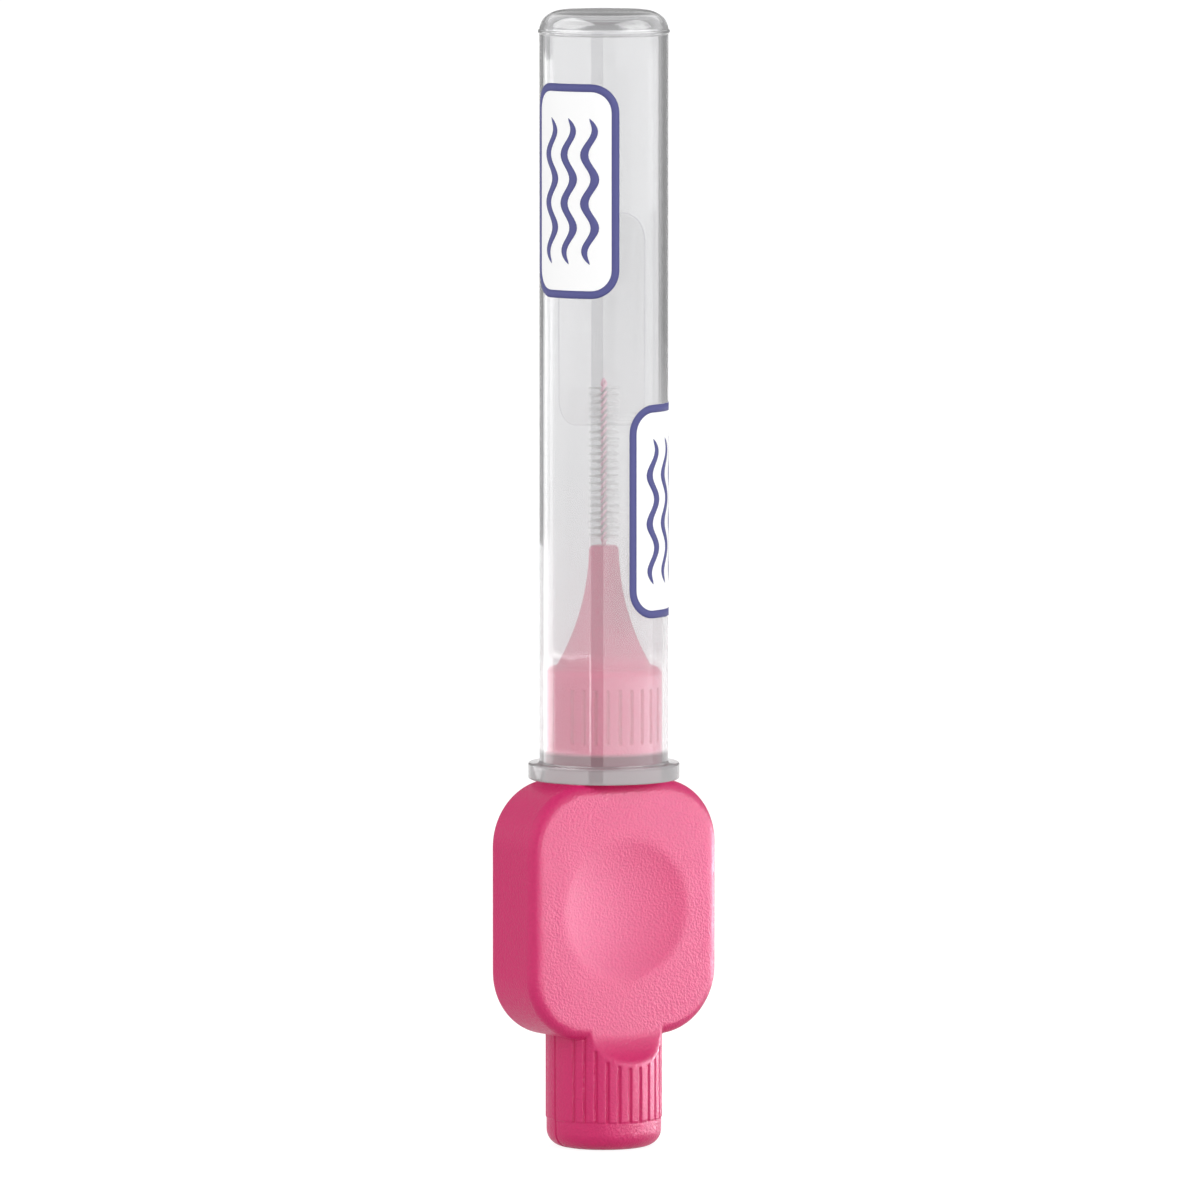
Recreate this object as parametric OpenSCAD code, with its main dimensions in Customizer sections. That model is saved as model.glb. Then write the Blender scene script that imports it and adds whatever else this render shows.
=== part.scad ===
// Interdental brush with a ribbed travel cap.
// The plug axis is Z, the grip pad's width runs along X and its thickness along Y.
// The rear plug stands on z = 0. All lengths are in millimetres.

/* [Plugs] */
// Diameter over the ribs of both plugs
plug_d = 8.2; // [7:0.1:10]
// Height of the rear plug below the grip pad
rear_plug_h = 7.9; // [6:0.1:12]
// Height of the smooth band at the rear plug's end
band_h = 2; // [1.8:0.1:3]
// How far the smooth band lies inside the ribs
band_step = 0.06; // [0.02:0.01:0.15]
// Rounding of the rear plug's end
end_round = 1.5; // [0.6:0.1:1.7]
// Height of the front plug above the grip pad, to its shoulder
front_plug_h = 8; // [7:0.1:12]
// Rounding of the front plug's shoulder
shoulder_round = 0.6; // [0.2:0.1:1]

/* [Ribs] */
// Number of grooves on each face of a plug
groove_count = 12; // [2:2:16]
// Turn from one groove to the next, in degrees
groove_turn = 11.7; // [6:0.1:11.8]
// Width of a groove between two ribs
groove_w = 0.2; // [0.1:0.01:0.3]
// Depth of a groove between two ribs
groove_depth = 0.14; // [0.05:0.01:0.25]
// Plain margin between the ribs' upper ends and the pad or scoop
rib_margin = 0.45; // [0.2:0.05:1]
// Height above the pad at which the front plug's ribs start
front_rib_z = 2.8; // [1:0.1:3.5]
// Length of the front plug's ribs
front_rib_h = 3.8; // [2:0.1:4.2]
// Width of the parting line along both plugs
parting_w = 0.18; // [0.1:0.01:0.3]
// Depth of the parting line
parting_depth = 0.08; // [0.05:0.01:0.08]

/* [Grip pad] */
// Width of the pad
pad_w = 15.6; // [13:0.1:20]
// Height of the pad
pad_h = 18; // [15:0.1:24]
// Thickness of the pad
pad_t = 5.75; // [4.5:0.05:7]
// Radius of the pad's four corners
pad_corner_r = 4.6; // [3:0.1:6]
// Rounding of the pad's rims
pad_rim_r = 0.8; // [0.4:0.1:1.5]
// Radius of the thumb dish in each face
dish_r = 5.1; // [3.5:0.1:6]
// Depth of the thumb dish
dish_depth = 0.45; // [0.1:0.05:0.8]
// Radius of the scoop that runs from each face down the rear plug
scoop_r = 2.5; // [2:0.1:4]
// Height over the pad's lower edge at which the scoop starts to curve out
scoop_rise = 0.55; // [0.3:0.05:1]

/* [Nose] */
// Diameter of the nose at the shoulder
nose_base_d = 6.68; // [5:0.1:7]
// Diameter of the nose at its tip
nose_tip_d = 2.08; // [1.6:0.1:3]
// Height of the nose above the shoulder
nose_h = 8.5; // [6:0.1:12]
// Rounding of the nose's tip
nose_tip_round = 0.3; // [0.1:0.05:0.5]

/* [Brush] */
// Length of the brush beyond the nose
brush_reach = 11.7; // [9:0.1:18]
// Depth to which the wire is moulded into the handle
wire_embed = 12; // [8:0.5:16]
// Diameter of one leg of the steel wire
wire_d = 0.14; // [0.1:0.01:0.2]
// Thickness of the coat round each leg
coat_wall = 0.035; // [0.02:0.005:0.06]
// Height in which the two legs go once round each other
twist_pitch = 1.04; // [0.8:0.02:1.6]
// Diameter over the bristles
bristle_d = 2.25; // [1.6:0.05:3]
// Thickness of a filament
filament_d = 0.05; // [0.04:0.005:0.06]
// Height between one filament and the next
filament_step = 0.05; // [0.045:0.005:0.1]
// Bare wire between the nose and the first filament
bare_foot = 0.5; // [0.3:0.1:2]
// Bare wire beyond the last filament
bare_tip = 0.5; // [0.2:0.1:1]

/* [Cap] */
// Height of the capped object
capped_h = 80; // [74:0.5:95]
// Wall of the cap's tube
cap_wall = 0.36; // [0.3:0.01:0.6]
// Wall of the cap's closed end
cap_end_wall = 0.9; // [0.5:0.1:1.5]
// Outer rounding of the closed end
cap_end_round = 1.4; // [1:0.1:2]
// Inner rounding of the closed end
cap_inner_round = 1; // [0.5:0.1:1.5]
// Height of the flange at the mouth
flange_h = 1.15; // [0.8:0.05:2]
// How far the flange stands out from the tube
flange_out = 0.83; // [0.5:0.05:1.2]
// Height of the lead-in inside the mouth
lead_in_h = 0.8; // [0.2:0.1:1.5]
// How far the lead-in widens the mouth
lead_in_w = 0.15; // [0.05:0.05:0.3]
// Rounding of the flange's rim
flange_round = 0.12; // [0.05:0.01:0.2]
// Height of the parting ring near the closed end
ring_h = 0.25; // [0.1:0.05:0.5]
// How far the parting ring stands out from the tube
ring_out = 0.1; // [0.05:0.01:0.2]
// Radial clearance between the cap and the ribs
cap_clearance = 0.04; // [0.02:0.01:0.08]
// Clearance between the cap's mouth and the pad
mouth_clearance = 0.06; // [0.03:0.01:0.2]

/* [Hidden] */

// One overrun for all cuts, and one for what sinks into its neighbour
overrun = 1;
// How far the front plug's foot lies below the pad's upper edge
plug_sink = 0.05;
// How much the rear plug narrows inside the pad
root_draft = 0.03;
// Clearance of the moulded-in wire in its bore, and of the coat round the steel
wire_clearance = 0.01;
coat_clearance = 0.002;
// Clearance that keeps a filament off the coats beside it
pinch_clearance = 0.004;

plug_r = plug_d / 2;
band_r = plug_r - band_step;
nose_base_r = nose_base_d / 2;
nose_tip_r = nose_tip_d / 2;
pad_z0 = rear_plug_h;
pad_z1 = pad_z0 + pad_h;
pad_mid_z = (pad_z0 + pad_z1) / 2;
face_y = pad_t / 2;
shoulder_z = pad_z1 + front_plug_h;
nose_tip_z = shoulder_z + nose_h;

// The scoop's bottom is an arc from the pad's face plane out to the plug's surface
scoop_z = pad_z0 + scoop_rise;
// The nose is a concave arc that ends upright at its tip
nose_arc_r = (pow(nose_base_r - nose_tip_r, 2) + pow(nose_h, 2)) / (2 * (nose_base_r - nose_tip_r));
// The dish is part of a sphere
dish_sphere_r = (pow(dish_r, 2) + pow(dish_depth, 2)) / (2 * dish_depth);

// The two legs lie a filament apart, so their middles turn at leg_offset from the axis
coat_r = wire_d / 2 + coat_wall;
leg_offset = coat_r + filament_d / 2 + pinch_clearance;
brush_r = leg_offset + coat_r;
wire_tip_z = nose_tip_z + brush_reach;
wire_foot_z = nose_tip_z - wire_embed;
bend_z = wire_foot_z + brush_r;
twist_z = nose_tip_z - bare_foot;
wire_turn = 360 / twist_pitch;
bristle_z0 = nose_tip_z + bare_foot;
bristle_z1 = wire_tip_z - bare_tip;
filament_count = floor((bristle_z1 - bristle_z0) / filament_step);

cap_bore_r = plug_r + cap_clearance;
cap_r = cap_bore_r + cap_wall;
mouth_z = pad_z1 + mouth_clearance;
cap_floor_z = capped_h - cap_end_wall;

// Radius of a filament as a share of its thickness, slimmer than the strip that holds it
filament_share = 0.38;

// Steps of an arc in an outline, sides of a leg and steps of a turn
arc_steps = 8;
leg_sides = 6;
steps_per_turn = 8;

// Points of an arc about (cx, cz), from one angle to another
function arc(cx, cz, r, from, to, steps = arc_steps) =
    [for (i = [0:steps]) let (a = from + (to - from) * i / steps) [cx + r * cos(a), cz + r * sin(a)]];

// Half outline of the rear plug, drawn in by inset, up to the height top inside the pad
function rear_outline(inset, top) = concat(
    [[0, inset]],
    arc(band_r - end_round, end_round, end_round - inset, -90, 0),
    [[band_r - inset, band_h], [plug_r - inset, band_h + band_step], [plug_r - inset, pad_z0],
     [plug_r - root_draft - inset, top], [0, top]]);

// Half outline of the front plug and the nose, drawn in by inset, from the height foot
function nose_outline(inset, foot) = concat(
    [[0, foot], [plug_r - inset, foot]],
    arc(plug_r - shoulder_round, shoulder_z - shoulder_round, shoulder_round - inset, 0, 90),
    [for (i = [1:arc_steps * 2])
        let (z = nose_h * (1 - pow(1 - i / (arc_steps * 2), 1.5)) - nose_tip_round * i / (arc_steps * 2))
        [nose_r(z) - inset, shoulder_z + z]],
    arc(nose_tip_r - nose_tip_round, nose_tip_z - nose_tip_round, nose_tip_round - inset, 0, 90),
    [[0, nose_tip_z - inset]]);

// Radius of the nose at a height above the shoulder
function nose_r(z) = nose_tip_r + nose_arc_r - sqrt(pow(nose_arc_r, 2) - pow(nose_h - z, 2));

// Height of the scoop's edge on the plug, at an angle from the face's normal
function scoop_edge_z(a) =
    let (proud = plug_r * cos(a) - face_y)
    proud <= 0 ? pad_z0 : scoop_z - sqrt(pow(scoop_r, 2) - pow(scoop_r - proud, 2));

// Angle of each groove from the face's normal
groove_angles = [for (i = [0:groove_count - 1]) (i - (groove_count - 1) / 2) * groove_turn];

// One upright groove in a plug, cut from its surface
module groove(a, z0, z1, w, depth) {
    rotate([0, 0, a - 90])
        translate([plug_r - depth, -w / 2, z0])
        cube([depth + overrun, w, z1 - z0]);
}

// Grooves on both faces of the rear plug, each ending below the scoop or the pad
module rear_grooves() {
    for (face = [0, 180], a = groove_angles)
        groove(a + face, band_h + band_step, scoop_edge_z(a) - rib_margin, groove_w, groove_depth);
}

module front_grooves() {
    for (face = [0, 180], a = groove_angles)
        groove(a + face, pad_z1 + front_rib_z, pad_z1 + front_rib_z + front_rib_h, groove_w, groove_depth);
}

// The mould's parting line: a shallow slot on both sides of a plug, given as the child in half
// outline, that leaves what the child holds
module parting_line() {
    for (side = [0, 180])
        rotate([90, 0, side])
        linear_extrude(height = parting_w, center = true)
        children();
}

// The rear plug's parting line also follows its rounded end
module rear_parting_line() {
    parting_line()
        difference() {
            translate([band_r - end_round, -overrun]) square([end_round + 2 * overrun, pad_z0 + overrun]);
            polygon(rear_outline(parting_depth, pad_z0 + 2 * overrun));
        }
}

module front_parting_line() {
    parting_line()
        translate([plug_r - parting_depth, pad_z1])
        square([overrun, front_plug_h - shoulder_round]);
}

// A corner of the pad: a round puck with rounded rims, lying on its side
module pad_puck() {
    rotate([90, 0, 0])
        rotate_extrude($fn = 40)
        polygon(concat(
            [[0, -face_y]],
            arc(pad_corner_r - pad_rim_r, pad_rim_r - face_y, pad_rim_r, -90, 0, 4),
            arc(pad_corner_r - pad_rim_r, face_y - pad_rim_r, pad_rim_r, 0, 90, 4),
            [[0, face_y]]));
}

module pad() {
    hull()
        for (side = [-1, 1], z = [pad_z0 + pad_corner_r, pad_z1 - pad_corner_r])
            translate([side * (pad_w / 2 - pad_corner_r), 0, z]) pad_puck();
}

// What the pad's face plane takes off the rear plug, ending in a round scoop
module scoop_cut() {
    translate([-plug_r, -face_y - plug_r, scoop_z]) cube([plug_d, plug_r, pad_z0 - scoop_z + 3 * overrun]);
    translate([0, -face_y - scoop_r, scoop_z]) rotate([0, 90, 0])
        cylinder(r = scoop_r, h = plug_d, center = true, $fn = 64);
}

module rear_plug() {
    difference() {
        rotate_extrude($fn = 96) polygon(rear_outline(0, pad_z0 + 2 * overrun));
        rear_grooves();
        rear_parting_line();
        for (turn = [0, 180]) rotate([0, 0, turn]) scoop_cut();
    }
}

module front_plug_and_nose() {
    difference() {
        rotate_extrude($fn = 96) polygon(nose_outline(0, pad_z1 - plug_sink));
        front_grooves();
        front_parting_line();
    }
}

// What joins the front plug to the pad, between the pad's rounded rims
module front_plug_root() {
    translate([-plug_r, pad_rim_r - face_y, pad_z1 - overrun]) cube([plug_d, pad_t - 2 * pad_rim_r, overrun]);
}

module thumb_dish() {
    translate([0, -face_y - dish_sphere_r + dish_depth, pad_mid_z]) sphere(r = dish_sphere_r, $fn = 96);
}

module handle() {
    color("#D7417F")
    difference() {
        union() {
            rear_plug();
            difference() {
                pad();
                for (turn = [0, 180]) rotate([0, 0, turn]) thumb_dish();
            }
            front_plug_root();
            front_plug_and_nose();
        }
        wire_seat();
    }
}

// Two round legs beside the axis, as a flat section
module leg_sections(r, sides) {
    for (side = [-1, 1]) translate([side * leg_offset, 0]) circle(r = r, $fn = sides);
}

// Carries the legs' section, given as the child, up the whole brush: straight where it is
// moulded in, then twisted from just inside the nose's tip
module along_brush() {
    translate([0, 0, bend_z])
        linear_extrude(height = twist_z - bend_z)
        children();
    translate([0, 0, twist_z])
        linear_extrude(height = wire_tip_z - twist_z, twist = (twist_z - wire_tip_z) * wire_turn,
            slices = round((wire_tip_z - twist_z) / twist_pitch * steps_per_turn))
        children();
}

// The half turn at the foot, in which one leg goes over into the other
module foot_bend(r) {
    translate([0, 0, bend_z])
        rotate([-90, 0, 0])
        rotate_extrude(angle = 180, $fn = 12)
        translate([leg_offset, 0]) circle(r = r, $fn = leg_sides);
}

// The steel wire: one length, folded at its foot, with both legs twisted round each other
module wire() {
    color("#B9BBBE") {
        along_brush() leg_sections(wire_d / 2, leg_sides);
        foot_bend(wire_d / 2);
    }
}

// The coat on both legs and on the fold
module wire_coating() {
    color("#E0628F") {
        along_brush()
            difference() {
                leg_sections(coat_r, leg_sides);
                leg_sections(wire_d / 2 + coat_clearance, leg_sides);
            }
        difference() {
            foot_bend(coat_r);
            foot_bend(wire_d / 2 + coat_clearance);
        }
    }
}

// The room that the coated wire fills in the handle: round where the legs are twisted,
// two straight channels below, and a pocket round the fold
module wire_seat() {
    translate([0, 0, twist_z]) cylinder(r = brush_r + wire_clearance, h = nose_tip_z - twist_z + overrun, $fn = 48);
    translate([0, 0, bend_z]) linear_extrude(height = twist_z - bend_z) leg_sections(coat_r + wire_clearance, leg_sides);
    translate([0, 0, wire_foot_z - wire_clearance])
        cylinder(r = brush_r + wire_clearance, h = bend_z - wire_foot_z + wire_clearance, $fn = 48);
}

// One filament, a three-sided rod through the axis, lying in the gap between the legs
module filament(z) {
    translate([0, 0, z])
        rotate([0, 0, (z - twist_z) * wire_turn + 90])
        rotate([0, 90, 0])
        cylinder(r = filament_d * filament_share, h = bristle_d, center = true, $fn = 3);
}

// The filaments and the strip along the axis in which the legs pinch them
module bristles() {
    color("#E9E6E6") {
        translate([0, 0, bristle_z0 - filament_step])
            cylinder(d = filament_d, h = (filament_count + 1) * filament_step, $fn = 8);
        for (i = [0:filament_count - 1]) filament(bristle_z0 + i * filament_step);
    }
}

// Half outline of the cap, outside and inside
cap_outline = concat(
    [[cap_bore_r, mouth_z + lead_in_h], [cap_bore_r + lead_in_w, mouth_z]],
    arc(cap_r + flange_out - flange_round, mouth_z + flange_round, flange_round, -90, 0, 3),
    arc(cap_r + flange_out - flange_round, mouth_z + flange_h - flange_round, flange_round, 0, 90, 3),
    [[cap_r, mouth_z + flange_h],
     [cap_r, capped_h - cap_end_round - ring_h],
     [cap_r + ring_out, capped_h - cap_end_round - ring_h + ring_out],
     [cap_r + ring_out, capped_h - cap_end_round]],
    arc(cap_r - cap_end_round, capped_h - cap_end_round, cap_end_round, 0, 90),
    [[0, capped_h], [0, cap_floor_z]],
    arc(cap_bore_r - cap_inner_round, cap_floor_z - cap_inner_round, cap_inner_round, 90, 0));

module cap() {
    color("#DDE2E6", 0.35) rotate_extrude($fn = 128) polygon(cap_outline);
}

handle();
wire();
wire_coating();
bristles();
cap();
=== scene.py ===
"""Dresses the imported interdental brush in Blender: its handle, wire, bristles, clear cap and studio.

All places are in metres in the row frame of the CAD model. Shapes are worked out in numpy as whole
arrays, and each function's docstring gives its formula in words.
"""

import bpy
import numpy as np
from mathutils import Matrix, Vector


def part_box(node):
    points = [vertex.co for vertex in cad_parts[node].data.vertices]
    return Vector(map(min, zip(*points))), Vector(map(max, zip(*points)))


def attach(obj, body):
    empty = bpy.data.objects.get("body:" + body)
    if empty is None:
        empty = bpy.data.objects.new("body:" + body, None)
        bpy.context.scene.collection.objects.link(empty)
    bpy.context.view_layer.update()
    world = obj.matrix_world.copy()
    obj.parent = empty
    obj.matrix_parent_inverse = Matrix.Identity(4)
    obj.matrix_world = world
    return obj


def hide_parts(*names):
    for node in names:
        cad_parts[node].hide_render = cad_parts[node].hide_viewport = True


bl_info = {
    "name": "Interdental Brush",
    "version": (1, 0, 0),
    "blender": (4, 5, 0),
    "location": "3D View > Sidebar > Brush",
    "description": "Makes the handle, the twisted brush, the clear cap and their studio",
    "category": "Object",
}

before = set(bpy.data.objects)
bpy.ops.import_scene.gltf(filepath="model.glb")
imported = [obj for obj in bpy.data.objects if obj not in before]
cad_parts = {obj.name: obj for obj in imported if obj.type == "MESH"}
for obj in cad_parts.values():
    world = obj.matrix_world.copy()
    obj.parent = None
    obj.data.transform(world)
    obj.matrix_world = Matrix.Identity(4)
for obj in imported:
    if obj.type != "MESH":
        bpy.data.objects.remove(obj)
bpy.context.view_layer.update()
MM = 0.001

# Places that the frame gives
HANDLE_LOW, HANDLE_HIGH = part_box("handle")
WIRE_LOW, WIRE_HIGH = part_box("wire_coating")
BRISTLE_LOW, BRISTLE_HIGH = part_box("bristles")
CAP_LOW, CAP_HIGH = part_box("cap")

PLUG_RADIUS = (HANDLE_HIGH.y - HANDLE_LOW.y) / 2
PAD_WIDTH = HANDLE_HIGH.x - HANDLE_LOW.x
NOSE_TIP_Z = HANDLE_HIGH.z
FLANGE_RADIUS = (CAP_HIGH.x - CAP_LOW.x) / 2
BRUSH_RADIUS = (WIRE_HIGH.x - WIRE_LOW.x) / 2
BRISTLE_RADIUS = (BRISTLE_HIGH.x - BRISTLE_LOW.x) / 2
# Where the legs of the wire start to twist, just inside the nose
TWIST_FOOT_Z = NOSE_TIP_Z - 0.5 * MM
# Gap between the steel and the coat that is drawn over it
SLEEVE_GAP = 0.002 * MM


def size(name, description, default):
    """A length in metres that a user can change."""
    return bpy.props.FloatProperty(
        name=name, description=description, default=default, min=0.0, precision=5,
        subtype="DISTANCE", unit="LENGTH")


def count(name, description, default, least, most):
    """A whole number that a user can change."""
    return bpy.props.IntProperty(
        name=name, description=description, default=default, min=least, max=most)


def paint(name, description, srgb_hex):
    """A colour that a user can change, given as an sRGB hex value."""
    return bpy.props.FloatVectorProperty(
        name=name, description=description, default=linear(srgb_hex), size=4, min=0.0, max=1.0,
        subtype="COLOR")


def linear(srgb_hex):
    """The linear RGBA of an sRGB hex value: each channel through the sRGB curve, alpha 1."""
    channels = np.array([int(srgb_hex[i:i + 2], 16) for i in (1, 3, 5)]) / 255
    curve = np.where(channels <= 0.04045, channels / 12.92, ((channels + 0.055) / 1.055) ** 2.4)
    return (*(float(c) for c in curve), 1.0)


class HandleSizes(bpy.types.PropertyGroup):
    """Sizes of the moulded handle."""

    pad_bottom: size("Pad bottom", "Height of the grip pad's lower edge", 7.9 * MM)
    pad_height: size("Pad height", "Height of the grip pad", 18 * MM)
    pad_thickness: size("Pad thickness", "Thickness of the grip pad", 5.75 * MM)
    pad_corner: size("Pad corner", "Radius of the pad's corners", 4.6 * MM)
    pad_rim: size("Pad rim", "Rounding of the pad's rims", 0.8 * MM)
    dish_radius: size("Dish radius", "Radius of the thumb dish", 5.1 * MM)
    dish_depth: size("Dish depth", "Depth of the thumb dish", 0.45 * MM)
    end_round: size("End rounding", "Rounding of the rear plug's end", 1.2 * MM)
    band_height: size("Band height", "Height of the smooth band below the ribs", 2 * MM)
    band_step: size("Band step", "How far the band lies inside the ribs", 0.06 * MM)
    scoop_radius: size("Scoop radius", "Radius of the scoop below the pad's face", 2.9 * MM)
    scoop_rise: size("Scoop rise", "Where the scoop starts above the pad's lower edge", 0.75 * MM)
    groove_count: count("Grooves", "Grooves on each face of a plug", 12, 2, 16)
    groove_turn: bpy.props.FloatProperty(
        name="Groove turn", description="Angle from one groove to the next",
        default=float(np.radians(11.7)), subtype="ANGLE", unit="ROTATION")
    groove_width: size("Groove width", "Width of a groove at half its depth", 0.21 * MM)
    groove_depth: size("Groove depth", "Depth of a groove", 0.15 * MM)
    rib_margin: size("Rib margin", "Plain margin above the rear plug's ribs", 0.45 * MM)
    front_rib_foot: size("Front rib foot", "Height of the front ribs above the pad", 2.8 * MM)
    front_rib_height: size("Front rib height", "Length of the front ribs", 3.8 * MM)
    parting_width: size("Parting width", "Width of the mould's parting line", 0.16 * MM)
    parting_depth: size("Parting depth", "Depth of the parting line", 0.12 * MM)
    front_height: size("Front plug height", "Height of the front plug above the pad", 8 * MM)
    shoulder_round: size("Shoulder rounding", "Rounding of the front plug's shoulder", 0.6 * MM)
    nose_base: size("Nose base", "Diameter of the nose at the shoulder", 6.68 * MM)
    nose_tip: size("Nose tip", "Diameter of the nose at its tip", 2.08 * MM)
    tip_round: size("Tip rounding", "Rounding of the nose's tip", 0.3 * MM)
    fillet: size("Fillet", "Reach of the fillet between the plugs and the pad", 0.08 * MM)
    grain: size("Grain", "Width of one pit of the spark-eroded grain", 0.17 * MM)


class BrushSizes(bpy.types.PropertyGroup):
    """Sizes of the twisted wire and its filaments."""

    steel: size("Steel", "Diameter of one leg of the steel wire", 0.14 * MM)
    coat: size("Coat", "Diameter of one coated leg", 0.21 * MM)
    pitch: size("Pitch", "Height in which the legs go once round each other", 1.04 * MM)
    filament: size("Filament", "Thickness of a filament", 0.032 * MM)
    step: size("Filament step", "Height between one pair of filaments and the next", 0.03 * MM)
    scatter: size("Scatter", "How far a filament's tip strays along the wire", 0.07 * MM)
    seed: count("Seed", "Seed of the filaments' scatter", 7, 0, 9999)


class CapSizes(bpy.types.PropertyGroup):
    """Sizes of the clear cap and its printed panels."""

    bore: size("Bore", "Radius of the cap's bore", 4.14 * MM)
    wall: size("Wall", "Wall of the tube", 0.39 * MM)
    end_wall: size("End wall", "Wall of the closed end", 0.45 * MM)
    end_round: size("End rounding", "Height of the closed end's outer rounding", 1.4 * MM)
    end_reach: size("End reach", "How far in from the tube the end's rounding reaches", 1.8 * MM)
    inner_round: size("Inner rounding", "Inner rounding of the closed end", 1.1 * MM)
    flange_height: size("Flange height", "Height of the flange at the mouth", 1.15 * MM)
    flange_round: size("Flange rounding", "Rounding of the flange's rim", 0.12 * MM)
    lead_in_height: size("Lead-in height", "Height of the lead-in inside the mouth", 0.8 * MM)
    lead_in_width: size("Lead-in width", "How far the lead-in widens the mouth", 0.15 * MM)
    ring_height: size("Ring height", "Height of the parting ring near the closed end", 0.25 * MM)
    ring_out: size("Ring stand-out", "How far the parting ring stands out", 0.1 * MM)
    panel_width: size("Panel width", "Width of a printed panel round the tube", 7.4 * MM)
    panel_height: size("Panel height", "Height of a printed panel", 15 * MM)
    panel_corner: size("Panel corner", "Radius of a panel's corners", 2 * MM)
    border: size("Border", "Width of the line round a panel", 0.55 * MM)
    ink: size("Ink", "Thickness of the printed ink", 0.012 * MM)


class BrushColours(bpy.types.PropertyGroup):
    """Colours of the finishes."""

    pink: paint("Pink", "Colour of the polypropylene handle", "#C92265")
    steel: paint("Steel", "Colour of the drawn wire", "#C3C4C7")
    coat: paint("Coat", "Colour of the wire's polymer coat", "#D49BAE")
    nylon: paint("Nylon", "Colour of the filaments", "#FBFAFA")
    clear: paint("Clear plastic", "Tint of the cap", "#F8F8F9")
    white_ink: paint("White ink", "Colour of the printed panels", "#FFFFFF")
    blue_ink: paint("Blue ink", "Colour of the printed lines", "#4B4C88")


def smooth_step(value, start, end):
    """0 before start, 1 after end, and 3t^2 - 2t^3 between them."""
    t = np.clip((value - start) / (end - start), 0, 1)
    return t * t * (3 - 2 * t)


def smooth_least(a, b, reach):
    """The smaller of a and b, lowered by (reach - |a - b|)^2 / (4 reach) where they differ by less
    than reach."""
    gap = np.maximum(reach - np.abs(a - b), 0)
    return np.minimum(a, b) - gap * gap / (4 * reach)


def smooth_most(a, b, reach):
    """The larger of a and b, rounded in the same way as smooth_least."""
    return -smooth_least(-a, -b, reach)


def arc(centre_r, centre_z, radius, start, end, steps):
    """Points (r, z) on a circle, from the angle start to the angle end in degrees."""
    a = np.radians(np.linspace(start, end, steps + 1))
    return np.stack([centre_r + radius * np.cos(a), centre_z + radius * np.sin(a)], axis=-1)


def mesh_object(name, points, faces, material, body, smooth=True):
    """A mesh of that name from points and faces, which rides on a body of the frame, or on none if it
    belongs to the stage."""
    mesh = bpy.data.meshes.new(name)
    mesh.from_pydata(points.tolist(), [], faces)
    mesh.polygons.foreach_set("use_smooth", np.full(len(mesh.polygons), smooth))
    mesh.materials.append(material)
    mesh.validate()
    mesh.update()
    obj = bpy.data.objects.new(name, mesh)
    bpy.context.scene.collection.objects.link(obj)
    if body:
        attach(obj, body)
    return obj


def grid_faces(rows, columns, closed_rows=False, closed_columns=True):
    """Quads between neighbouring points of a grid with rows x columns points, numbered row by row."""
    i = np.arange(rows if closed_rows else rows - 1)[:, None]
    j = np.arange(columns if closed_columns else columns - 1)[None, :]
    below = i * columns
    above = (i + 1) % rows * columns
    right = (j + 1) % columns
    quads = np.stack([below + j, below + right, above + right, above + j], axis=-1)
    return quads.reshape(-1, 4).tolist()


def fan(pole, first, columns, inverted=False):
    """Triangles from a pole to the sides of a closed ring of points, which are numbered from first
    on. Inverted ones face the other way."""
    here = np.arange(columns)
    following = (here + 1) % columns
    one, other = (following, here) if inverted else (here, following)
    return np.stack([0 * here + pole, first + one, first + other], axis=-1).tolist()


def closed_tube(grid):
    """Points and faces of a grid (rows, columns, 3) that is closed round its columns, with a pole at
    each end, at the middle of the first and the last row."""
    rows, columns = grid.shape[:2]
    points = np.concatenate([grid.reshape(-1, 3), grid[:1].mean(axis=1), grid[-1:].mean(axis=1)])
    foot, tip, last = rows * columns, rows * columns + 1, (rows - 1) * columns
    faces = grid_faces(rows, columns) + fan(foot, 0, columns, inverted=True) + fan(tip, last, columns)
    return points, faces


def revolve(outline, columns):
    """Points (rows, columns, 3) of an outline (r, z) carried round the Z axis."""
    turn = np.linspace(0, 2 * np.pi, columns, endpoint=False)
    r, z = outline[:, 0, None], outline[:, 1, None]
    return np.stack([r * np.cos(turn), r * np.sin(turn), z + 0 * turn], axis=-1)


def add_node(tree, kind, links=(), **settings):
    """Adds a node of that kind. A setting named after an input sets its default, and any other sets
    an attribute. Each link is (input name or number, output socket)."""
    node = tree.nodes.new(kind)
    for key, value in settings.items():
        name = key.replace("_", " ")
        if name in node.inputs:
            node.inputs[name].default_value = value
        else:
            setattr(node, key, value)
    for socket, source in links:
        tree.links.new(source, node.inputs[socket])
    return node


def new_material(name):
    """An empty node material, its tree and its output node."""
    material = bpy.data.materials.new(name)
    material.use_nodes = True
    tree = material.node_tree
    tree.nodes.clear()
    return material, tree, add_node(tree, "ShaderNodeOutputMaterial")


def shaded(colour, scale):
    """A linear colour times a number, alpha kept."""
    return (*(min(c * scale, 1.0) for c in colour[:3]), 1.0)


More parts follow.
